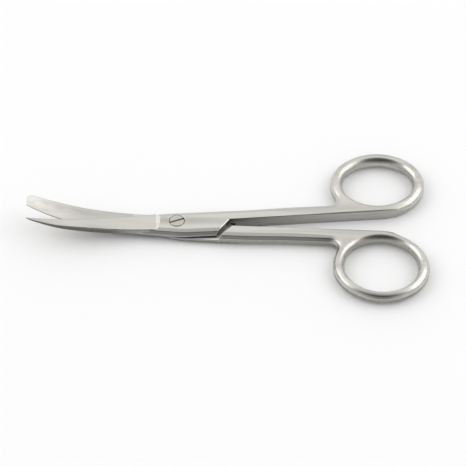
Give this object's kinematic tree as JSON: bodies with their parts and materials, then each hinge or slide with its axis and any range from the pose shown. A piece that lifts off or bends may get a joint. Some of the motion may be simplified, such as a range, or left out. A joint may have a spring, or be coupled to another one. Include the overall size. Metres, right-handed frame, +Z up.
{
  "type": "dissecting scissors",
  "caption": "Steel dissecting scissors, blades curved on the flat, one sharp and one blunt tip, lapped joint with a slotted pivot screw, oval finger rings.",
  "frame": {"origin": "foot of the pivot's axis, in the plane that the scissors lie on", "axes": "+Z up along the pivot, +X from the pivot towards the finger rings, +Y towards the ring of the sharp-tipped half"},
  "size_m": [0.144, 0.0691, 0.0119],
  "materials": {
    "satin_steel": "bead-blasted satin stainless steel",
    "screw_steel": "satin stainless steel, turned"
  },
  "bodies": {
    "blunt_half": {"blunt_tip_half": "satin_steel", "pivot_screw": "screw_steel"},
    "sharp_half": {"sharp_tip_half": "satin_steel"}
  },
  "joints": [
    {"name": "pivot", "type": "hinge", "parent": "blunt_half", "child": "sharp_half", "pos_m": [0, 0, 0.0025], "axis": [0, 0, 1], "range_deg": [-7, 110]}
  ]
}
